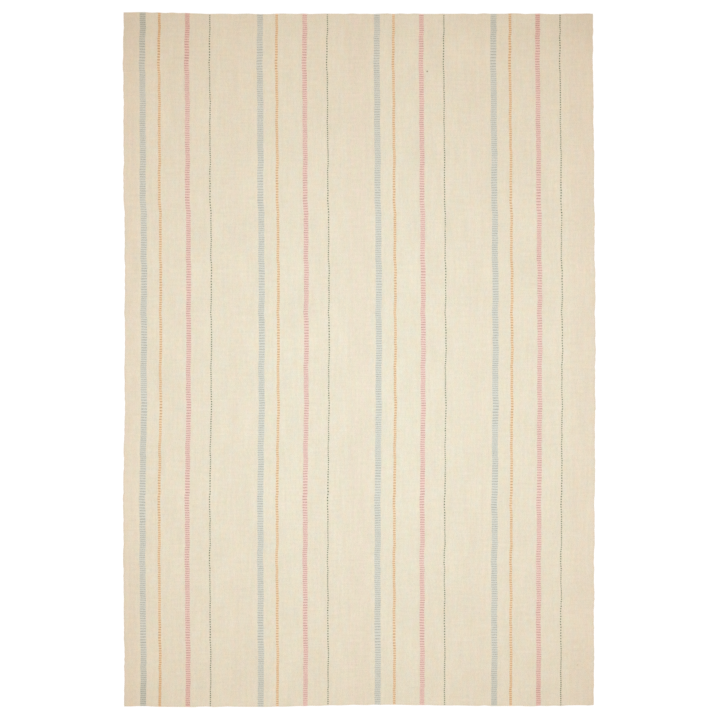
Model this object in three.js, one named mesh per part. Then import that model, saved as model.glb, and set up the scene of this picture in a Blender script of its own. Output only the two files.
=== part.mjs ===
// A kilim rug: one flat woven cloth lying on a floor, with slightly wavy selvedges and clean ends.
// Millimetres, +Z up, X across the width, Y along the stripes, and the origin on the floor under
// the middle of the rug.
import * as THREE from "three";

// Driving dimensions
const WIDTH = 1220; // from selvedge to selvedge
const LENGTH = 1796; // from end to end, along the stripes
const THICKNESS = 4; // of the firm flat weave
const EDGE_ROUND = 1.6; // rounding of the rim, over the top and under the bottom
const EDGE_STEPS = 2; // facets in that rounding
const CORNER_RADIUS = 3; // of the four corners, seen from above
const CORNER_STEPS = 3; // facets in each corner
const RIM_STEP = 20; // spacing of the rim's points along the sides

// How far each selvedge strays towards +X, at places along the length. The middle bows to the right.
const SELVEDGE_DRIFT = [
  { at: -900, left: 1.5, right: -0.5 },
  { at: -750, left: 0.4, right: -0.8 },
  { at: -600, left: -1.2, right: -0.5 },
  { at: -450, left: -1.9, right: 0.3 },
  { at: -300, left: -1.4, right: 1.5 },
  { at: -150, left: 1.9, right: 2.2 },
  { at: 0, left: 1.9, right: 2.8 },
  { at: 150, left: 2.3, right: 2.5 },
  { at: 300, left: 2.2, right: 1.1 },
  { at: 450, left: -1.2, right: -0.2 },
  { at: 600, left: -0.8, right: -1.2 },
  { at: 750, left: -2.3, right: -3.3 },
  { at: 900, left: -1.5, right: -3.7 },
];

// How far each end strays towards +Y, at places across the width. The near end is the one at -Y.
const END_DRIFT = [
  { at: -610, near: -0.6, far: 3.9 },
  { at: -488, near: -2.6, far: 2.1 },
  { at: -366, near: -2.3, far: -0.7 },
  { at: -244, near: -2.1, far: -0.6 },
  { at: -122, near: -0.1, far: -0.6 },
  { at: 0, near: 2.9, far: -0.5 },
  { at: 122, near: 2.5, far: -0.4 },
  { at: 244, near: 1.4, far: -0.7 },
  { at: 366, near: 0.1, far: 0.3 },
  { at: 488, near: -0.3, far: -0.7 },
  { at: 610, near: 1.9, far: -0.2 },
];

// The closer waves of a hand-beaten cloth, which the whole width shares: each is a sine along Y.
const RIPPLES = [
  { pitch: 163, height: 0.6 },
  { pitch: 71, height: 0.5 },
];

// Material, from the photograph's cream ground
const CREAM_WOOL = new THREE.MeshStandardMaterial({ color: 0xe7dcc6, roughness: 0.95, metalness: 0 });

// The drift in one column of a table, eased between its rows.
function driftAt(table, column, at) {
  const inside = THREE.MathUtils.clamp(at, table[0].at, table[table.length - 1].at);
  const next = Math.max(1, table.findIndex((row) => row.at >= inside));
  const before = table[next - 1];
  const after = table[next];
  const eased = THREE.MathUtils.smoothstep(inside, before.at, after.at);
  return THREE.MathUtils.lerp(before[column], after[column], eased);
}

function rippleAt(along) {
  const wave = (ripple) => ripple.height * Math.sin((2 * Math.PI * along) / ripple.pitch);
  return RIPPLES.reduce((sum, ripple) => sum + wave(ripple), 0);
}

// Carries a point of a straight-sided rug to its place in the uneven, hand-woven one.
function woven(point) {
  const across = point.x / WIDTH + 0.5;
  const along = point.y / LENGTH + 0.5;
  const left = driftAt(SELVEDGE_DRIFT, "left", point.y);
  const right = driftAt(SELVEDGE_DRIFT, "right", point.y);
  const near = driftAt(END_DRIFT, "near", point.x);
  const far = driftAt(END_DRIFT, "far", point.x);
  const shiftX = THREE.MathUtils.lerp(left, right, across) + rippleAt(point.y);
  const shiftY = THREE.MathUtils.lerp(near, far, along);
  return new THREE.Vector2(point.x + shiftX, point.y + shiftY);
}

// One rounded corner of a straight-sided rug: sideX and sideY are its signs, turn where it starts.
function corner(sideX, sideY, turn) {
  const centre = new THREE.Vector2(
    sideX * (WIDTH / 2 - CORNER_RADIUS),
    sideY * (LENGTH / 2 - CORNER_RADIUS),
  );
  return Array.from({ length: CORNER_STEPS + 1 }, (_, step) => {
    const angle = turn + (step / CORNER_STEPS) * (Math.PI / 2);
    const arm = new THREE.Vector2(Math.cos(angle), Math.sin(angle));
    return arm.multiplyScalar(CORNER_RADIUS).add(centre);
  });
}

// The points strictly between two ends of a straight side, about one rim step apart.
function sidePoints(start, end) {
  const count = Math.round(start.distanceTo(end) / RIM_STEP);
  return Array.from({ length: count - 1 }, (_, step) => start.clone().lerp(end, (step + 1) / count));
}

// The rim seen from above, anticlockwise from the corner at +X and -Y.
function rim() {
  const corners = [
    corner(1, -1, -Math.PI / 2),
    corner(1, 1, 0),
    corner(-1, 1, Math.PI / 2),
    corner(-1, -1, Math.PI),
  ];
  const straight = corners.flatMap((arc, index) => {
    const nextArc = corners[(index + 1) % corners.length];
    return [...arc, ...sidePoints(arc[arc.length - 1], nextArc[0])];
  });
  return straight.map(woven);
}

// The whole cloth: its rim carried up through the thickness, rounded over at the top and bottom.
function clothGeometry() {
  const geometry = new THREE.ExtrudeGeometry(new THREE.Shape(rim()), {
    depth: THICKNESS - 2 * EDGE_ROUND,
    bevelThickness: EDGE_ROUND,
    bevelSize: EDGE_ROUND,
    bevelOffset: -EDGE_ROUND,
    bevelSegments: EDGE_STEPS,
  });
  geometry.center();
  geometry.translate(0, 0, THICKNESS / 2);
  return geometry;
}

const rug = new THREE.Mesh(clothGeometry(), CREAM_WOOL);
rug.name = "rug";

const kilim = new THREE.Group();
kilim.add(rug);

export default kilim;
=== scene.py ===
"""A kilim rug laid flat: its ribbed cream cloth, the dyed yarns of its stripes, and the light above.

The rug is a warp-faced plain weave. Yarns along the length cover thick yarns across the width, so
the face is a stack of fine ribs across the rug. In a stripe, dyed yarns take turns with cream ones,
so each stripe is a ladder of coloured bars, one on every second rib. Units are metres.
"""
import math

import bpy
import numpy as np
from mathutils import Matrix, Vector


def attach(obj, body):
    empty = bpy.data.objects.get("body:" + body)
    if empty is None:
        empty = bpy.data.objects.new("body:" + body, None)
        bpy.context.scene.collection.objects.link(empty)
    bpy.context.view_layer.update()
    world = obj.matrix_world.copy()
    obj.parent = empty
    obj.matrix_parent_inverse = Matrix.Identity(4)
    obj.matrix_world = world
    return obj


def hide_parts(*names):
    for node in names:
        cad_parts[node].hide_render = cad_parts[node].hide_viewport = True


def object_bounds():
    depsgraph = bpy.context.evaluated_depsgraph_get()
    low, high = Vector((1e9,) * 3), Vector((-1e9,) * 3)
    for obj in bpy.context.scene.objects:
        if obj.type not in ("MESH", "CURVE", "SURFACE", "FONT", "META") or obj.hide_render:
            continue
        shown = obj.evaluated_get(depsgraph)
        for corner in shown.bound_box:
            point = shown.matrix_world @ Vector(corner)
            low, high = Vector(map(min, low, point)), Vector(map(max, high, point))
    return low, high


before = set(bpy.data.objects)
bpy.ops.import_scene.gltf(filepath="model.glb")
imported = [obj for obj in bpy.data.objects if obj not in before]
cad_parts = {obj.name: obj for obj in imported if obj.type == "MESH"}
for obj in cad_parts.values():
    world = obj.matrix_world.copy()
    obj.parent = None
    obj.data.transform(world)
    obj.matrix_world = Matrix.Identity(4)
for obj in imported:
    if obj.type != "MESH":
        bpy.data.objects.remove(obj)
CAD_LOW, CAD_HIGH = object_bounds()

MM = 0.001
SEED = 20261
rng = np.random.default_rng(SEED)

# Cloth
FLAT_SIZE = (1220 * MM, 1796 * MM)
THICKNESS = CAD_HIGH.z
CORNER_RADIUS = 2 * MM
END_ROLL = 2.4 * MM  # how far from an end the cloth starts to round off
THINNEST_END = 0.2  # the share of the thickness that is left at an end
TOP_COLUMNS = 22  # columns of points on the face
UNDER_COLUMNS = 8  # columns of points on the underside
COLUMN_INSET = 4.5 * MM  # of the face's outer columns from the selvedges
UNDER_SHORT = 1  # ribs by which the underside stops short of each end

# The rounded selvedge, from the floor up: how far in from the edge, and how high.
SELVEDGE_PROFILE = [
    {"inset": 1.3 * MM, "height": 0.0 * MM},
    {"inset": 0.3 * MM, "height": 0.9 * MM},
    {"inset": 0.0 * MM, "height": 2.0 * MM},
    {"inset": 0.5 * MM, "height": 3.1 * MM},
    {"inset": 1.7 * MM, "height": 3.8 * MM},
]

# The solid's rim, which the cloth follows
RIM_BAND = THICKNESS / 8  # how near the solid's mid-height the rim's points lie
RIM_DEPTH = 10 * MM  # how far in a side's points may lie, and how far from its corners it starts
RIM_DECIMALS = 5  # to which two points of a side are told apart

# Weave
RIB_PITCH = 2.95 * MM
RIB_DEPTH = 0.42 * MM
RIB_ROWS = 4  # rows of points to a rib
CREST_CLEARANCE = 0.1  # of an even rib under the full thickness, as a share of the rib's depth
PITCH_JITTER = 0.04  # from rib to rib, as a share of the pitch
HEIGHT_JITTER = 0.12  # from rib to rib, as a share of the rib's depth
SCALLOP = 0.35 * MM  # how far a groove draws in the selvedge
YARN_WIDTH = 1.7 * MM

# How far the weave strays, with a new goal about every gap. The pitch's gap is in ribs, and its size a
# share of the pitch.
PITCH_STRAY = {"gap": 22, "size": 0.18}
SELVEDGE_STRAY = {"gap": 9 * MM, "size": 0.7 * MM}
END_STRAY = {"gap": 18 * MM, "size": 0.9 * MM}
STRIPE_STRAY = {"gap": 45 * MM, "size": 0.35 * MM}

# The last rib at each end, one thick yarn, and how far the cloth itself stops short of the rim there.
END_RIB = {
    "half_width": 1.5 * MM,
    "half_height": 1.75 * MM,
    "step": 5 * MM,
    "tip": 0.6 * MM,
    "girth": 8,
}
END_DRAW = 1.2 * MM

# How the ribs stray from straight lines across the rug: sines, each with a pitch across and one along.
WEFT_WAVES = [
    {"across": 0.71, "along": 0.34, "height": 2.4 * MM, "start": 0.4},
    {"across": -0.43, "along": 0.23, "height": 1.7 * MM, "start": 2.1},
    {"across": 0.29, "along": 0.15, "height": 1.0 * MM, "start": 4.4},
]
WAVE_ONSET = 16  # the larger, the sooner the waves grow from the ends

# Stripes, in four like groups. Each starts at the middle of its blue stripe, so far from the left
# selvedge, has its other stripes more or less widely spread, and is a little lighter or darker.
GROUPS = [
    {"start": 49.8 * MM, "spread": 1.0025, "tone": 0.975},
    {"start": 354.9 * MM, "spread": 1.0035, "tone": 1.012},
    {"start": 658.5 * MM, "spread": 0.9980, "tone": 1.012},
    {"start": 961.1 * MM, "spread": 0.9940, "tone": 1.000},
]
GROUP_MARGIN = 30 * MM  # how far before its start a group takes over from the last one
STRIPES = [
    {"name": "blue", "offset": 0.0 * MM, "yarns": 9, "wide": YARN_WIDTH},
    {"name": "orange", "offset": 43.1 * MM, "yarns": 4, "wide": YARN_WIDTH},
    {"name": "pink", "offset": 115.5 * MM, "yarns": 7, "wide": YARN_WIDTH},
    {"name": "green", "offset": 174.0 * MM, "yarns": 1, "wide": 2.75 * MM},
]

# One float of dyed yarn over a rib: where along the rib, how wide, and how far above the cloth.
FLOAT_STATIONS = [
    {"rib": -0.08, "width": 0.00, "edge": -0.45 * MM, "crown": -0.45 * MM, "under": -0.45 * MM},
    {"rib": 0.12, "width": 0.96, "edge": 0.02 * MM, "crown": 0.24 * MM, "under": -0.25 * MM},
    {"rib": 0.50, "width": 1.08, "edge": 0.06 * MM, "crown": 0.32 * MM, "under": -0.20 * MM},
    {"rib": 0.88, "width": 0.96, "edge": 0.02 * MM, "crown": 0.24 * MM, "under": -0.25 * MM},
    {"rib": 1.08, "width": 0.00, "edge": -0.45 * MM, "crown": -0.45 * MM, "under": -0.45 * MM},
]

# The points round a float: which way each lies from its middle, and which of the heights above it has.
FLOAT_ROUND = [
    {"aside": -1, "height": "edge"},
    {"aside": 0, "height": "crown"},
    {"aside": 1, "height": "edge"},
    {"aside": 0, "height": "under"},
]

# How loosely floats lie: aside and in width, as shares of the yarn's width, along, as a share of a rib,
# and up.
FLOAT_LOOSENESS = {"aside": 0.03, "along": 0.02, "width": 0.05, "up": 0.04 * MM}
FLOAT_TONES = (0.975, 1.025)
RIB_RIM = 0.001  # how far inside its own rib, as a share of it, a float's height is read

# Bake maps, in shares of their square: where each part of the cloth starts, and how far it goes on.
FACE_MAP = {"from": 0.005, "size": 0.955}
UNDER_MAP = {"from": 0.970, "size": 0.025}
ROWS_MAP = {"from": 0.012, "size": 0.976}
CAPS_MAP = {"near": 0.001, "far": 0.993, "size": 0.006}
CAP_ARCH = 30  # the power that makes an end cap's upper edge flat but for its corners
CAP_DIP = 0.1  # of its lower edge, as a share of the cap's size
COLUMN_SPARE = 0.002  # room for each column besides its own width
CELL_MARGIN = 0.08  # round each tube in its own cell

# Wool: the cream of the ground, and each stripe's dye on its bars and on the paler cloth between them.
CREAM = (0.800, 0.736, 0.591)
DYES = {
    "blue": {"bar": (0.634, 0.650, 0.585), "gap": (0.694, 0.706, 0.635)},
    "orange": {"bar": (0.720, 0.515, 0.317), "gap": (0.904, 0.669, 0.436)},
    "pink": {"bar": (0.728, 0.506, 0.453), "gap": (0.888, 0.637, 0.572)},
    "green": {"bar": (0.065, 0.125, 0.050), "gap": (0.715, 0.684, 0.534)},
}
WOOL_FINISH = {"Specular IOR Level": 0.0, "Sheen Weight": 0.1, "Sheen Roughness": 0.5}
DYED_ROUGHNESS = 0.85
YARN_BUMP = {"distance": 0.25 * MM, "strength": 0.25}
FIBRE_BUMP = {"distance": 0.12 * MM, "strength": 0.5}

# How the ground's tone strays over the weave: noises with their changes to a yarn and to a rib.
YARN_NOISES = [
    {"scale": (0.60, 0.28, 0), "detail": 1.0, "tone": (0.961, 1.039)},
    {"scale": (0.25, 0.03, 0), "detail": 1.0, "tone": (0.974, 1.026)},
    {"scale": (0.03, 0.80, 0), "detail": 1.0, "tone": (0.976, 1.024)},
]

# How wool strays over the rug: noises with their changes to a metre each way, and what they set.
PATCHES = {"scale": (16, 7, 0), "detail": 3.0, "tone": (0.980, 1.020), "roughness": (0.86, 0.96)}
ROSINESS = {"scale": (70, 36, 9), "detail": 3.0, "red": (0.965, 1.035), "green": (1.021, 0.979)}
STRAW = {"scale": (50, 36, 31), "detail": 2.0, "blue": (0.95, 1.05)}
FUZZ = {"scale": (2600, 900, 2600), "detail": 2.0, "height": 0.6}
GAPS = {"scale": (9, 38, 0), "detail": 1.0, "cover": (0.8, 1.0)}
BARS = {"scale": (14, 40, 0), "detail": 1.0, "tone": (0.93, 1.07)}
FIBRES = {"scale": (3000, 700, 3000), "detail": 2.0, "tone": (0.94, 1.06)}
NOISE_MIDDLE = (0.25, 0.75)  # where most of a noise lies

# How deep the dye is, as a power of its colour: in patches, and, as painted shade, how much more at the
# rug's corners.
DYE_PATCHES = {"scale": (14, 9, 0), "detail": 2.0, "depth": (0.94, 1.06)}
PAINTED_CORNER_SHADE = {"reach": 170 * MM, "depth": 0.35, "closeness": 2.0}

# Bands of ground from one lot of wool, by places across: how much more green and blue they return.
TONE_BANDS = [
    {"from": 0 * MM, "to": 33 * MM, "tone": -0.025},
    {"from": 234 * MM, "to": 252 * MM, "tone": 0.010},
    {"from": 276 * MM, "to": 302 * MM, "tone": -0.010},
    {"from": 350 * MM, "to": 458 * MM, "tone": 0.010},
    {"from": 582 * MM, "to": 638 * MM, "tone": -0.018},
    {"from": 665 * MM, "to": 758 * MM, "tone": 0.012},
    {"from": 888 * MM, "to": 945 * MM, "tone": -0.009},
    {"from": 1158 * MM, "to": 1220 * MM, "tone": -0.022},
]
BAND_SOFTNESS = 6 * MM
BAND_SCALE = 10  # of the tones on the ramp, which holds them as greys about a half

# Painted shade that darkens the rug towards its ends: all along an end, or only at its corners.
PAINTED_END_SHADES = [
    {"end": "far", "reach": 120 * MM, "depth": 0.018, "corners_only": False},
    {"end": "far", "reach": 240 * MM, "depth": 0.060, "corners_only": True},
    {"end": "near", "reach": 100 * MM, "depth": 0.025, "corners_only": True},
]
PAINTED_SHADE_CLOSENESS = 4.0  # the larger, the closer to the selvedges the corners' painted shade keeps

# Two dark fibres spun into the ground
FLECKS = [
    {"x": 176.3 * MM, "y": 747.2 * MM, "radius": 2.4 * MM, "strength": 0.95},
    {"x": 566.1 * MM, "y": -792.3 * MM, "radius": 1.9 * MM, "strength": 0.50},
]
BROWN = (0.24, 0.17, 0.10)

# Photograph: its square frame's width at the rug's face, and the frame's middle from the rug's.
FRAME_WIDTH = 1867.4 * MM
FRAME_MIDDLE = (2.0 * MM, -1.3 * MM)
LENS = 100.0
SENSOR = 36.0
SOFTNESS = 1.7  # of the picture, in pixels

# Light: a warm, even room, a cooler lamp over the middle of the rug, and a floor that glows evenly.
ROOM_LIGHT = (0.682, 0.482, 0.328)
LAMP_LIGHT = (0.402, 0.616, 0.778)
LAMP_PLACE = (0.05, -0.11, 2.1)
LAMP_SIZE = 0.8
FLOOR_SIZE = 60
FLOOR_GLOW = 0.92
FLOOR_WHITE = 0.12
WHITE = (1.0, 1.0, 1.0)


# Meshes

def mesh_object(name, points, faces, material):
    """A smooth-shaded object from an array of points and some arrays of faces."""
    corners = np.concatenate([np.ravel(group) for group in faces]).astype(np.int32)
    totals = np.concatenate([np.full(len(group), len(group[0])) for group in faces])
    starts = np.concatenate([[0], np.cumsum(totals)[:-1]]).astype(np.int32)
    mesh = bpy.data.meshes.new(name)
    mesh.vertices.add(len(points))
    mesh.vertices.foreach_set("co", np.asarray(points, np.float32).ravel())
    mesh.loops.add(len(corners))
    mesh.loops.foreach_set("vertex_index", corners)
    mesh.polygons.add(len(totals))
    mesh.polygons.foreach_set("loop_start", starts)
    mesh.polygons.foreach_set("use_smooth", np.ones(len(totals), bool))
    mesh.update(calc_edges=True)
    mesh.materials.append(material)
    made = bpy.data.objects.new(name, mesh)
    bpy.context.scene.collection.objects.link(made)
    return made


def add_map(made, name, corners):
    """A UV map from arrays with one row for each face corner."""
    layer = made.data.uv_layers.new(name=name)
    flat = np.concatenate([np.reshape(group, (-1, 2)) for group in corners])
    layer.data.foreach_set("uv", flat.astype(np.float32).ravel())


def drift(places, gap, size):
    """A smooth random drift along places, with a new goal about every gap."""
    goals = rng.uniform(-size, size, int(np.ptp(places) / gap) + 3)
    steps = (places - places.min()) / gap
    before = np.floor(steps).astype(int)
    share = steps - before
    eased = share * share * (3 - 2 * share)
    return goals[before] * (1 - eased) + goals[before + 1] * eased


# The weave's places

def rim_of_solid():
    """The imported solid's sides: where along each selvedge or end, and its x or y there."""
    points = np.array([v.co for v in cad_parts["rug"].data.vertices])
    ring = points[np.abs(points[:, 2] - THICKNESS / 2) < RIM_BAND]
    clear = np.abs(points[:, :2]).max(0) - RIM_DEPTH
    sides = {}
    for name, axis, sign in (("left", 0, -1), ("right", 0, 1), ("near", 1, -1), ("far", 1, 1)):
        other = 1 - axis
        on_side = (sign * ring[:, axis] > clear[axis]) & (np.abs(ring[:, other]) < clear[other])
        found = ring[on_side]
        at, first = np.unique(np.round(found[:, other], RIM_DECIMALS), return_index=True)
        sides[name] = (at, found[first, axis])
    return sides


def woven_rim():
    """The solid's sides, whose selvedges also stray a little from rib to rib."""
    sides = rim_of_solid()
    for name in ("left", "right"):
        at, reach = sides[name]
        places = np.arange(at.min(), at.max(), RIB_PITCH)
        sides[name] = (places, np.interp(places, at, reach) + drift(places, **SELVEDGE_STRAY))
    return sides


def rib_shares():
    """Where each rib starts, as a share of the length, beaten unevenly as by hand."""
    count = 2 * round(FLAT_SIZE[1] / RIB_PITCH / 2)
    pitch = 1 + drift(np.arange(count, dtype=float), **PITCH_STRAY)
    pitch += rng.normal(0, PITCH_JITTER, count)
    return np.concatenate([[0], np.cumsum(pitch) / pitch.sum()])


RIM = woven_rim()
RIB_SHARES = rib_shares()
RIB_COUNT = len(RIB_SHARES) - 1
RIB_HEIGHTS = 1 + rng.uniform(-HEIGHT_JITTER, HEIGHT_JITTER, RIB_COUNT)


def side(name, at):
    return np.interp(at, *RIM[name])


def place(across, rib):
    """x, y and the distance to the nearer end, at shares across the width and ribs along the length."""
    along = np.interp(rib, np.arange(RIB_COUNT + 1), RIB_SHARES)
    straight = (across - 0.5) * FLAT_SIZE[0]
    near, far = side("near", straight) + END_DRAW, side("far", straight) - END_DRAW
    fade = np.minimum(1, WAVE_ONSET * along * (1 - along))
    y = near + along * (far - near)
    for wave in WEFT_WAVES:
        turn = 2 * np.pi * (straight / wave["across"] + y / wave["along"]) + wave["start"]
        y = y + fade * wave["height"] * np.sin(turn)
    from_end = np.minimum(far - y, y - near)
    short = np.clip(1 - from_end / CORNER_RADIUS, 0, 1)
    corner = CORNER_RADIUS * (1 - np.sqrt(1 - short**2))
    left, right = side("left", y) + corner, side("right", y) - corner
    return left + across * (right - left), y, from_end


def crest(rib):
    """How high the cloth's face is on a rib, from 0 in its groove to about 1 on its crest."""
    inside = np.clip(np.floor(rib).astype(int), 0, RIB_COUNT - 1)
    return np.abs(np.sin(np.pi * rib)) * RIB_HEIGHTS[inside]


def face_height(rib):
    return THICKNESS - RIB_DEPTH * (1 + CREST_CLEARANCE - crest(rib))


def rolled(height, from_end):
    """Heights drawn in to the middle of the thickness where the cloth rounds off at its ends."""
    short = np.clip(1 - from_end / END_ROLL, 0, 1)
    share = np.maximum(THINNEST_END, np.sqrt(1 - short**2))
    return THICKNESS / 2 + (height - THICKNESS / 2) * share


# The cloth and its end ribs

def cloth(material):
    """The whole cloth: a closed ring of points round each row, carried from end to end."""
    across, height, drawn_in = cloth_ring()
    rib = np.arange(RIB_COUNT * RIB_ROWS + 1) / RIB_ROWS
    groove = 1 - crest(rib)[:, None]
    shares = across + drawn_in * groove * SCALLOP / FLAT_SIZE[0]
    ribs = np.broadcast_to(rib[:, None], shares.shape).copy()
    under = UNDER_SHORT + rib * (RIB_COUNT - 2 * UNDER_SHORT) / RIB_COUNT
    ribs[:, -UNDER_COLUMNS:] = under[:, None]
    x, y, from_end = place(shares, ribs)
    z = rolled(height * face_height(ribs) / THICKNESS, from_end)

    rows, columns = x.shape
    index = np.arange(rows * columns).reshape(rows, columns)
    beside = np.roll(index, -1, axis=1)
    quads = np.stack([index[:-1], index[1:], beside[1:], beside[:-1]], -1).reshape(-1, 4)
    cap = end_cap(across)
    caps = np.concatenate([index[0][cap], index[-1][cap[:, ::-1]]])
    made = mesh_object("rug_cloth", np.stack([x, y, z], -1).reshape(-1, 3), [quads, caps], material)

    yarn = shares * FLAT_SIZE[0] / YARN_WIDTH
    weave = np.stack([yarn, ribs], -1).reshape(-1, 2)
    add_map(made, "Weave", [weave[quads], weave[caps]])
    add_map(made, "OFBake", cloth_bake_map(across, rib, quads, caps))
    return made


def cloth_ring():
    """The points round a row: their shares across, their heights, and which way a groove draws them."""
    width = FLAT_SIZE[0]
    inset = np.array([p["inset"] for p in SELVEDGE_PROFILE]) / width
    rise = np.array([p["height"] for p in SELVEDGE_PROFILE])
    top = np.linspace(COLUMN_INSET / width, 1 - COLUMN_INSET / width, TOP_COLUMNS)
    under = np.linspace(1, 0, UNDER_COLUMNS + 2)[1:-1]
    across = np.concatenate([inset, top, 1 - inset[::-1], under])
    heights = [rise, np.full(TOP_COLUMNS, THICKNESS), rise[::-1], np.zeros(UNDER_COLUMNS)]
    drawn_in = np.repeat([1, 0, -1, 0], [len(part) for part in heights])
    return across, np.concatenate(heights), drawn_in


def end_cap(across):
    """Triangles that close an end: a strip between the ring's points above and those below."""
    last_top = len(across) - UNDER_COLUMNS - 1
    lower = [0, *range(len(across) - 1, last_top, -1), last_top]
    last_step = len(lower) - 1
    top, step = 0, 0
    triangles = []
    while top < last_top or step < last_step:
        if step == last_step or (top < last_top and across[top + 1] <= across[lower[step + 1]]):
            triangles.append((top, top + 1, lower[step]))
            top += 1
        else:
            triangles.append((top, lower[step + 1], lower[step]))
            step += 1
    return np.array([t for t in triangles if len(set(t)) == 3])


def cloth_bake_map(across, rib, quads, caps):
    """The face and rims on most of the square, the underside in a strip, the end caps in slivers."""
    columns = len(across)
    over = columns - UNDER_COLUMNS
    step = np.abs(np.diff(across[:over])) + COLUMN_SPARE
    u_face = FACE_MAP["from"] + FACE_MAP["size"] * np.concatenate([[0], np.cumsum(step)]) / step.sum()
    under = np.arange(1, UNDER_COLUMNS + 1) / (UNDER_COLUMNS + 1)
    u_under = UNDER_MAP["from"] + UNDER_MAP["size"] * under
    column, row = quads % columns, quads // columns
    corner_u = np.concatenate([u_face, u_under])[column]
    below = np.isin(column[:, :1], np.arange(over - 1, columns))
    corner_u = np.where(below & (column == over - 1), UNDER_MAP["from"], corner_u)
    corner_u = np.where(below & (column == 0), UNDER_MAP["from"] + UNDER_MAP["size"], corner_u)
    corner_v = ROWS_MAP["from"] + ROWS_MAP["size"] * rib[row] / rib[-1]

    cap_column = caps % columns
    cap_u = FACE_MAP["from"] + FACE_MAP["size"] * across[cap_column]
    arch = 1 - np.abs(2 * across[cap_column] - 1) ** CAP_ARCH
    cap_v = np.where(caps < columns, CAPS_MAP["near"], CAPS_MAP["far"])
    cap_v = cap_v + CAPS_MAP["size"] * np.where(cap_column < over, arch, -CAP_DIP)
    return [np.stack([corner_u, corner_v], -1), np.stack([cap_u, cap_v], -1)]


def end_rib(name, end, material):
    """The last rib at an end: a thick yarn from selvedge to selvedge, with a blunt tip at both."""
    inward = {"near": 1, "far": -1}[end]
    girth = END_RIB["girth"]
    tip = FLAT_SIZE[0] / 2
    half = tip - END_RIB["tip"]
    straight = np.linspace(-half, half, round(2 * half / END_RIB["step"]))
    straight = np.concatenate([[-tip], straight, [tip]])
    rim = side(end, straight) + drift(straight, **END_STRAY)
    y = rim + inward * END_RIB["half_width"]
    left, right = side("left", y), side("right", y)
    x = left + (straight / FLAT_SIZE[0] + 0.5) * (right - left)

    turn = 2 * np.pi * np.arange(girth) / girth
    body = np.empty((len(x) - 2, girth, 3))
    body[..., 0] = x[1:-1, None]
    body[..., 1] = y[1:-1, None] + END_RIB["half_width"] * np.cos(turn)
    body[..., 2] = THICKNESS / 2 + END_RIB["half_height"] * np.sin(turn)
    tips = np.stack([x, y, np.full_like(x, THICKNESS / 2)], -1)[[0, -1]]
    faces = tube_faces(len(body), girth)
    made = mesh_object(name, np.concatenate([body.reshape(-1, 3), tips]), faces, material)

    yarn = (straight + FLAT_SIZE[0] / 2) / YARN_WIDTH
    yarns = np.concatenate([np.repeat(yarn[1:-1], girth), yarn[[0, -1]]])
    weave = np.stack([yarns, np.full_like(yarns, {"near": 0, "far": RIB_COUNT}[end])], -1)
    add_map(made, "Weave", [weave[part] for part in faces])
    add_map(made, "OFBake", tube_bake_map(len(body), girth, 1))
    return made


# Tubes

def tube_faces(rings, girth):
    """The faces of a closed tube: quads between its rings of points, and triangles fanned to each tip."""
    around = np.arange(girth)
    onward = (around + 1) % girth
    quads = []
    for ring in range(rings - 1):
        low, high = ring * girth, (ring + 1) * girth
        quads.append(np.stack([low + around, high + around, high + onward, low + onward], -1))
    tip = rings * girth
    last = (rings - 1) * girth
    near = np.stack([np.full(girth, tip), around, onward], -1)
    far = np.stack([np.full(girth, tip + 1), last + onward, last + around], -1)
    return np.concatenate(quads), np.concatenate([near, far])


def tube_bake_map(rings, girth, count):
    """Each of some like tubes unrolled into its own cell of a square grid of cells."""
    around = np.arange(girth)
    quads, triangles = [], []
    for ring in range(rings - 1):
        low, high = np.full(girth, ring + 1), np.full(girth, ring + 2)
        u = np.stack([around, around, around + 1, around + 1], -1)
        quads.append(np.stack([u, np.stack([low, high, high, low], -1)], -1))
    for tip, ring, first, second in ((0, 1, 0, 1), (rings + 1, rings, 1, 0)):
        u = np.stack([around + 0.5, around + first, around + second], -1)
        v = np.broadcast_to([tip, ring, ring], u.shape)
        triangles.append(np.stack([u, v], -1))
    size = np.array([girth, rings + 1])
    side_cells = math.ceil(math.sqrt(count))
    cell = np.stack(np.divmod(np.arange(count), side_cells), -1)[:, None, None, :]
    inside = [(1 - 2 * CELL_MARGIN) * np.concatenate(part) / size for part in (quads, triangles)]
    return [(cell + CELL_MARGIN + part) / side_cells for part in inside]


# Stripes

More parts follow.
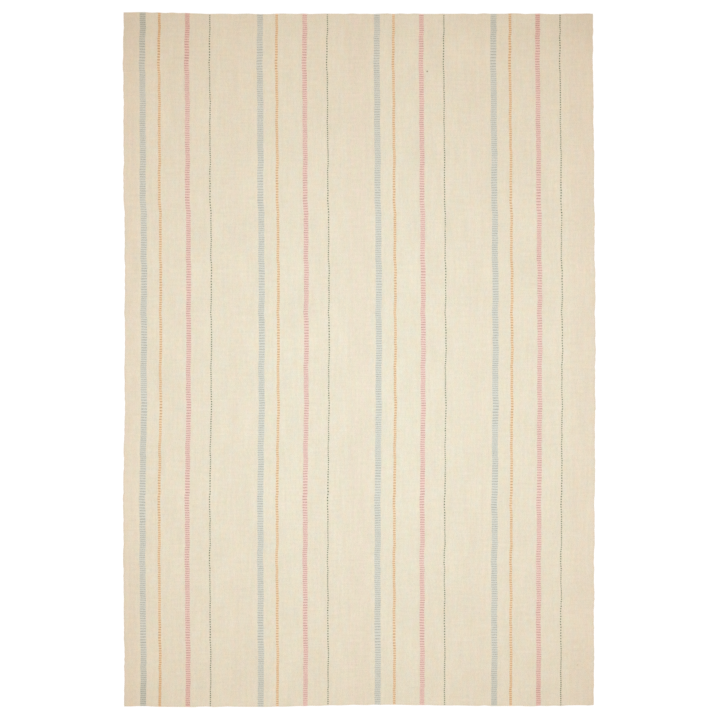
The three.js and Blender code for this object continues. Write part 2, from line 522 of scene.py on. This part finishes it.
def float_points(middle, yarns, yarn_width):
    """A stripe's floats, side by side over every second rib: the points of each, its two tips last."""
    ribs = np.arange(rng.integers(2), RIB_COUNT, 2)
    strands = np.arange(yarns) - (yarns - 1) / 2
    bar, strand = (a.ravel() for a in np.meshgrid(ribs, strands, indexing="ij"))
    station = {key: np.array([s[key] for s in FLOAT_STATIONS]) for key in FLOAT_STATIONS[0]}
    draws = rng.normal(0, 1, (len(FLOAT_LOOSENESS), len(bar), 1))
    loose = {key: size * draw for (key, size), draw in zip(FLOAT_LOOSENESS.items(), draws)}
    sway = drift(np.arange(RIB_COUNT) * RIB_PITCH, **STRIPE_STRAY)[bar]
    centre = (middle + strand * yarn_width + sway)[:, None] + yarn_width * loose["aside"]
    along = bar[:, None] + station["rib"] + loose["along"]
    wide = yarn_width / 2 * station["width"] * (1 + loose["width"])
    on_rib = np.clip(along, bar[:, None] + RIB_RIM, bar[:, None] + 1 - RIB_RIM)
    base = face_height(on_rib) + loose["up"]

    shares = np.broadcast_to(centre / FLAT_SIZE[0], along.shape)
    x, y, from_end = place(shares, np.clip(along, 0, RIB_COUNT))
    aside = np.array([point["aside"] for point in FLOAT_ROUND])
    up = np.stack([station[point["height"]] for point in FLOAT_ROUND], -1)
    points = np.empty((*along.shape, len(FLOAT_ROUND), 3))
    points[..., 0] = x[..., None] + wide[..., None] * aside
    points[..., 1] = y[..., None]
    points[..., 2] = rolled(base[..., None] + up, from_end[..., None])
    body = points[:, 1:-1].reshape(len(bar), -1, 3)
    tips = points[:, [0, -1], 0]
    return np.concatenate([body, tips], 1)


def stripe(name, middle, yarns, yarn_width, group_tone, material):
    """One stripe: all its floats in one mesh, each with a tone of its own."""
    points = float_points(middle, yarns, yarn_width)
    count, per_float = points.shape[:2]
    rings, girth = len(FLOAT_STATIONS) - 2, len(FLOAT_ROUND)
    first = (np.arange(count) * per_float)[:, None, None]
    faces = [(part + first).reshape(-1, part.shape[1]) for part in tube_faces(rings, girth)]
    made = mesh_object(name, points.reshape(-1, 3), faces, material)
    tone = made.data.attributes.new("tone", "FLOAT", "POINT")
    tones = np.repeat(rng.uniform(*FLOAT_TONES, count), per_float) * group_tone
    tone.data.foreach_set("value", tones.astype(np.float32))
    add_map(made, "OFBake", tube_bake_map(rings, girth, count))
    return made


def stripes():
    """Every stripe of every group, one dye after another."""
    made = []
    for row in STRIPES:
        wool = dyed_wool(f"{row['name']}_wool", DYES[row["name"]]["bar"])
        for number, group in enumerate(GROUPS, 1):
            name = f"stripe_{row['name']}_{number}"
            middle = group["start"] + group["spread"] * row["offset"]
            made.append(stripe(name, middle, row["yarns"], row["wide"], group["tone"], wool))
    return made


# Materials

def opaque(colour):
    return (*colour, 1.0)


class Paint:
    """One woollen material, with short calls for the nodes that colour it."""

    def __init__(self, name):
        self.material = bpy.data.materials.new(name)
        self.material.use_nodes = True
        self.tree = self.material.node_tree
        self.shader = self.tree.nodes["Principled BSDF"]
        for socket, value in WOOL_FINISH.items():
            self.apply(socket, value)
        self.spot = self.node("ShaderNodeTexCoord", {}).outputs["Object"]
        self.x, self.y, self.z = self.node("ShaderNodeSeparateXYZ", {0: self.spot}).outputs

    def apply(self, socket, value):
        self.feed(self.shader.inputs[socket], value)

    def feed(self, socket, value):
        if isinstance(value, bpy.types.NodeSocket):
            self.tree.links.new(value, socket)
        else:
            socket.default_value = value

    def node(self, kind, inputs, **settings):
        made = self.tree.nodes.new(kind)
        for key, value in settings.items():
            setattr(made, key, value)
        for key, value in inputs.items():
            self.feed(made.inputs[key], value)
        return made

    def math(self, operation, *values):
        return self.node("ShaderNodeMath", dict(enumerate(values)), operation=operation).outputs[0]

    def product(self, first, *others):
        for value in others:
            first = self.math("MULTIPLY", first, value)
        return first

    def scaled(self, vector, factors):
        inputs = {0: vector, 1: factors}
        return self.node("ShaderNodeVectorMath", inputs, operation="MULTIPLY").outputs[0]

    def noise(self, vector, row):
        inputs = {"Vector": self.scaled(vector, row["scale"]), "Scale": 1.0, "Detail": row["detail"]}
        return self.node("ShaderNodeTexNoise", inputs).outputs[0]

    def spread(self, noise, ends):
        """A noise, the middle of which is carried to a range of its own."""
        inputs = {
            "Value": noise,
            "From Min": NOISE_MIDDLE[0],
            "From Max": NOISE_MIDDLE[1],
            "To Min": ends[0],
            "To Max": ends[1],
        }
        return self.node("ShaderNodeMapRange", inputs, clamp=False).outputs[0]

    def rise(self, value, first, last, height, shape="SMOOTHSTEP"):
        """A rise from 0 at a first value to a height at a last one."""
        inputs = {"Value": value, "From Min": first, "From Max": last, "To Max": height}
        return self.node("ShaderNodeMapRange", inputs, interpolation_type=shape).outputs[0]

    def mix(self, amount, first, second):
        """Two colours mixed. A mix node's colour sockets share their names, so they go by number."""
        inputs = {0: amount, 6: first, 7: second}
        return self.node("ShaderNodeMix", inputs, data_type="RGBA").outputs[2]

    def tinted(self, colour, red, green, blue):
        """A colour with each of its channels multiplied by a value of its own."""
        factors = self.node("ShaderNodeCombineXYZ", {0: red, 1: green, 2: blue}).outputs[0]
        return self.scaled(colour, factors)

    def deeper(self, colour, depth):
        """A dye at a depth other than 1: the more of it, the less light each channel returns."""
        return self.node("ShaderNodeGamma", {0: opaque(colour), 1: depth}).outputs[0]

    def bump(self, height, distance, strength):
        inputs = {"Height": height, "Distance": distance, "Strength": strength}
        self.apply("Normal", self.node("ShaderNodeBump", inputs).outputs[0])


def cream_wool():
    """Cream wool yarns, tinted where dyed yarns run beneath them in a stripe."""
    paint = Paint("cream_wool")
    weave = paint.node("ShaderNodeUVMap", {}, uv_map="Weave").outputs[0]
    yarn, rib, _ = paint.node("ShaderNodeSeparateXYZ", {0: weave}).outputs
    patches = paint.noise(paint.spot, PATCHES)
    colour = stripe_tints(paint, uneven_cream(paint, weave, yarn, patches), yarn, rib)
    for row in FLECKS:
        colour = paint.mix(fleck(paint, row), colour, opaque(BROWN))
    # Painted shade that darkens the ground towards its ends and corners.
    shade = painted_end_shade(paint)
    paint.apply("Base Color", paint.tinted(colour, shade, shade, shade))
    paint.apply("Roughness", paint.spread(patches, PATCHES["roughness"]))

    shifted = paint.math("MULTIPLY_ADD", second_rib(paint, rib), 0.5, yarn)
    rounded = paint.math("ABSOLUTE", paint.math("SINE", paint.math("MULTIPLY", shifted, math.pi)))
    fuzz = paint.noise(paint.spot, FUZZ)
    paint.bump(paint.math("MULTIPLY_ADD", fuzz, FUZZ["height"], rounded), **YARN_BUMP)
    return paint.material


def dyed_wool(name, colour):
    """Dyed wool: each float a little lighter or darker, its fibres running along it."""
    paint = Paint(name)
    each = paint.node("ShaderNodeAttribute", {}, attribute_name="tone").outputs["Fac"]
    patch = paint.spread(paint.noise(paint.spot, BARS), BARS["tone"])
    fibre = paint.noise(paint.spot, FIBRES)
    # Each float's tone, its patch and fibres, times painted shade towards the ends and corners.
    shade = paint.product(each, patch, paint.spread(fibre, FIBRES["tone"]), painted_end_shade(paint))
    # The dye deepens towards the corners as painted shade.
    dye = paint.deeper(colour, dye_depth_and_painted_shade(paint))
    paint.apply("Base Color", paint.tinted(dye, shade, shade, shade))
    paint.apply("Roughness", DYED_ROUGHNESS)
    paint.bump(fibre, **FIBRE_BUMP)
    return paint.material


def uneven_cream(paint, weave, yarn, patches):
    """The ground's cream, which strays from yarn to yarn, in patches and in bands along the rug."""
    tones = [paint.spread(paint.noise(weave, row), row["tone"]) for row in YARN_NOISES]
    tone = paint.product(*tones, paint.spread(patches, PATCHES["tone"]))
    rosy = paint.noise(paint.spot, ROSINESS)
    straw = paint.noise(paint.spot, STRAW)
    red = paint.product(tone, paint.spread(rosy, ROSINESS["red"]))
    green = paint.product(tone, paint.spread(rosy, ROSINESS["green"]), tone_bands(paint, yarn))
    blue = paint.product(green, paint.spread(straw, STRAW["blue"]))
    return paint.tinted(CREAM, red, green, blue)


def tone_bands(paint, yarn):
    """What the green and blue of the ground are multiplied by, in bands along the rug."""
    width = FLAT_SIZE[0]
    share = paint.math("MULTIPLY", yarn, YARN_WIDTH / width)
    made = paint.node("ShaderNodeValToRGB", {0: share})
    ramp = made.color_ramp
    ramp.interpolation = "EASE"
    stops = []
    for band in TONE_BANDS:
        for edge, outward in ((band["from"], -1), (band["to"], 1)):
            stops.append((edge + outward * BAND_SOFTNESS, 0.0))
            stops.append((edge - outward * BAND_SOFTNESS, band["tone"]))
    inside = sorted(stop for stop in stops if 0 <= stop[0] <= width)
    while len(ramp.elements) < len(inside):
        ramp.elements.new(0.5)
    for element, (at, tone) in zip(ramp.elements, inside):
        grey = 0.5 + BAND_SCALE * tone
        element.position = at / width
        element.color = opaque((grey, grey, grey))
    return paint.math("MULTIPLY_ADD", made.outputs[0], 1 / BAND_SCALE, 1 - 0.5 / BAND_SCALE)


def second_rib(paint, rib):
    """1 on every second rib, and 0 on those between."""
    return paint.math("MODULO", paint.math("FLOOR", rib), 2.0)


def place_in_group(paint, yarn):
    """How many millimetres right of its group's blue stripe a point lies, if evenly spread."""
    where = paint.math("MULTIPLY", yarn, YARN_WIDTH / MM)
    start, spread = GROUPS[0]["start"] / MM, GROUPS[0]["spread"]
    for before, group in zip(GROUPS, GROUPS[1:]):
        past = paint.math("GREATER_THAN", where, (group["start"] - GROUP_MARGIN) / MM)
        start = paint.math("MULTIPLY_ADD", past, (group["start"] - before["start"]) / MM, start)
        spread = paint.math("MULTIPLY_ADD", past, group["spread"] - before["spread"], spread)
    return paint.math("DIVIDE", paint.math("SUBTRACT", where, start), spread)


def stripe_tints(paint, colour, yarn, rib):
    """The stripes' own colours: pale between the raised bars, and in bars on the underside."""
    across_group = place_in_group(paint, yarn)
    below = paint.math("LESS_THAN", paint.z, THICKNESS / 4)
    bars = paint.math("MULTIPLY", below, second_rib(paint, rib))
    cover = paint.spread(paint.noise(paint.spot, GAPS), GAPS["cover"])
    # Dye depth, with painted shade that deepens it towards the corners.
    depth = dye_depth_and_painted_shade(paint)
    for row in STRIPES:
        dyes = DYES[row["name"]]
        half_width = row["yarns"] * row["wide"] / 2
        inside = paint.math("COMPARE", across_group, row["offset"] / MM, half_width / MM)
        gap, bar = paint.deeper(dyes["gap"], depth), paint.deeper(dyes["bar"], depth)
        colour = paint.mix(paint.math("MULTIPLY", inside, cover), colour, gap)
        colour = paint.mix(paint.math("MULTIPLY", inside, bars), colour, bar)
    return colour


def near_selvedge(paint, closeness):
    """From 0 along the middle of the rug to 1 at both selvedges, the later the larger the closeness."""
    share = paint.math("ABSOLUTE", paint.math("MULTIPLY", paint.x, 2 / FLAT_SIZE[0]))
    return paint.math("POWER", share, closeness)


def dye_depth_and_painted_shade(paint):
    """How deep the dye is, about 1: a little more or less in patches, and more towards the corners as
    painted shade.
    """
    end = FLAT_SIZE[1] / 2
    along = paint.math("ABSOLUTE", paint.y)
    # Painted shade: the dye deepens towards the ends, most at the selvedges.
    near_end = paint.rise(along, end - PAINTED_CORNER_SHADE["reach"], end, PAINTED_CORNER_SHADE["depth"])
    depth = paint.spread(paint.noise(paint.spot, DYE_PATCHES), DYE_PATCHES["depth"])
    return paint.math("MULTIPLY_ADD", near_end, near_selvedge(paint, PAINTED_CORNER_SHADE["closeness"]), depth)


def painted_end_shade(paint):
    """Painted shade: how light the wool is towards the rug's ends and corners, as a share of what it is
    elsewhere.
    """
    corner = near_selvedge(paint, PAINTED_SHADE_CLOSENESS)
    shade = 1.0
    for row in PAINTED_END_SHADES:
        last = {"near": -1, "far": 1}[row["end"]] * FLAT_SIZE[1] / 2
        depth = paint.rise(paint.y, last - math.copysign(row["reach"], last), last, row["depth"])
        if row["corners_only"]:
            depth = paint.math("MULTIPLY", depth, corner)
        shade = paint.math("SUBTRACT", shade, depth)
    return shade


def fleck(paint, row):
    """How far a point lies in one dark fleck of the ground."""
    places = {0: paint.spot, 1: (row["x"], row["y"], THICKNESS)}
    away = paint.node("ShaderNodeVectorMath", places, operation="DISTANCE").outputs["Value"]
    return paint.rise(away, row["radius"], row["radius"] / 2, row["strength"], "LINEAR")


# Floor, light and camera

def floor():
    bpy.ops.mesh.primitive_plane_add(size=FLOOR_SIZE)
    made = bpy.context.object
    made.name = "floor"
    material = bpy.data.materials.new("floor_white")
    material.use_nodes = True
    shader = material.node_tree.nodes["Principled BSDF"]
    shader.inputs["Base Color"].default_value = opaque((FLOOR_WHITE, FLOOR_WHITE, FLOOR_WHITE))
    shader.inputs["Roughness"].default_value = 1.0
    shader.inputs["Specular IOR Level"].default_value = 0.0
    shader.inputs["Emission Color"].default_value = opaque(WHITE)
    shader.inputs["Emission Strength"].default_value = FLOOR_GLOW
    material.cycles.emission_sampling = "NONE"
    made.data.materials.append(material)


def room():
    """An even room that lights the rug warmly, and is white to look at."""
    world = bpy.data.worlds.new("studio")
    bpy.context.scene.world = world
    world.use_nodes = True
    world.cycles.sampling_method = "NONE"
    nodes, links = world.node_tree.nodes, world.node_tree.links
    warm = nodes["Background"]
    warm.inputs["Color"].default_value = opaque(ROOM_LIGHT)
    white = nodes.new("ShaderNodeBackground")
    white.inputs["Color"].default_value = opaque(WHITE)
    seen = nodes.new("ShaderNodeLightPath")
    either = nodes.new("ShaderNodeMixShader")
    links.new(seen.outputs["Is Camera Ray"], either.inputs[0])
    links.new(warm.outputs[0], either.inputs[1])
    links.new(white.outputs[0], either.inputs[2])
    links.new(either.outputs[0], nodes["World Output"].inputs["Surface"])


def lamp():
    """One soft lamp above the rug, as strong as makes a white face below it as bright as its light."""
    strongest = max(LAMP_LIGHT)
    made = bpy.data.objects.new("lamp", bpy.data.lights.new("lamp", "AREA"))
    made.data.size = LAMP_SIZE
    made.data.color = [part / strongest for part in LAMP_LIGHT]
    made.data.energy = strongest * (math.pi * LAMP_PLACE[2]) ** 2
    made.location = LAMP_PLACE
    made.visible_camera = False
    bpy.context.scene.collection.objects.link(made)


def camera():
    made = bpy.data.objects.new("camera", bpy.data.cameras.new("camera"))
    made.data.lens = LENS
    made.data.sensor_width = SENSOR
    made.location = (*FRAME_MIDDLE, THICKNESS + FRAME_WIDTH * LENS / SENSOR)
    bpy.context.scene.collection.objects.link(made)
    bpy.context.scene.camera = made
    bpy.context.scene.view_settings.view_transform = "Standard"
    bpy.context.scene.cycles.use_denoising = False
    bpy.context.scene.cycles.filter_width = SOFTNESS


# The rug in its room

cream = cream_wool()
rug = cloth(cream)
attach(rug, "root")
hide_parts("rug")

woven_in = [end_rib(f"rug_end_{end}", end, cream) for end in ("near", "far")]
woven_in += stripes()
for made in woven_in:
    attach(made, "root")

floor()
room()
lamp()
camera()
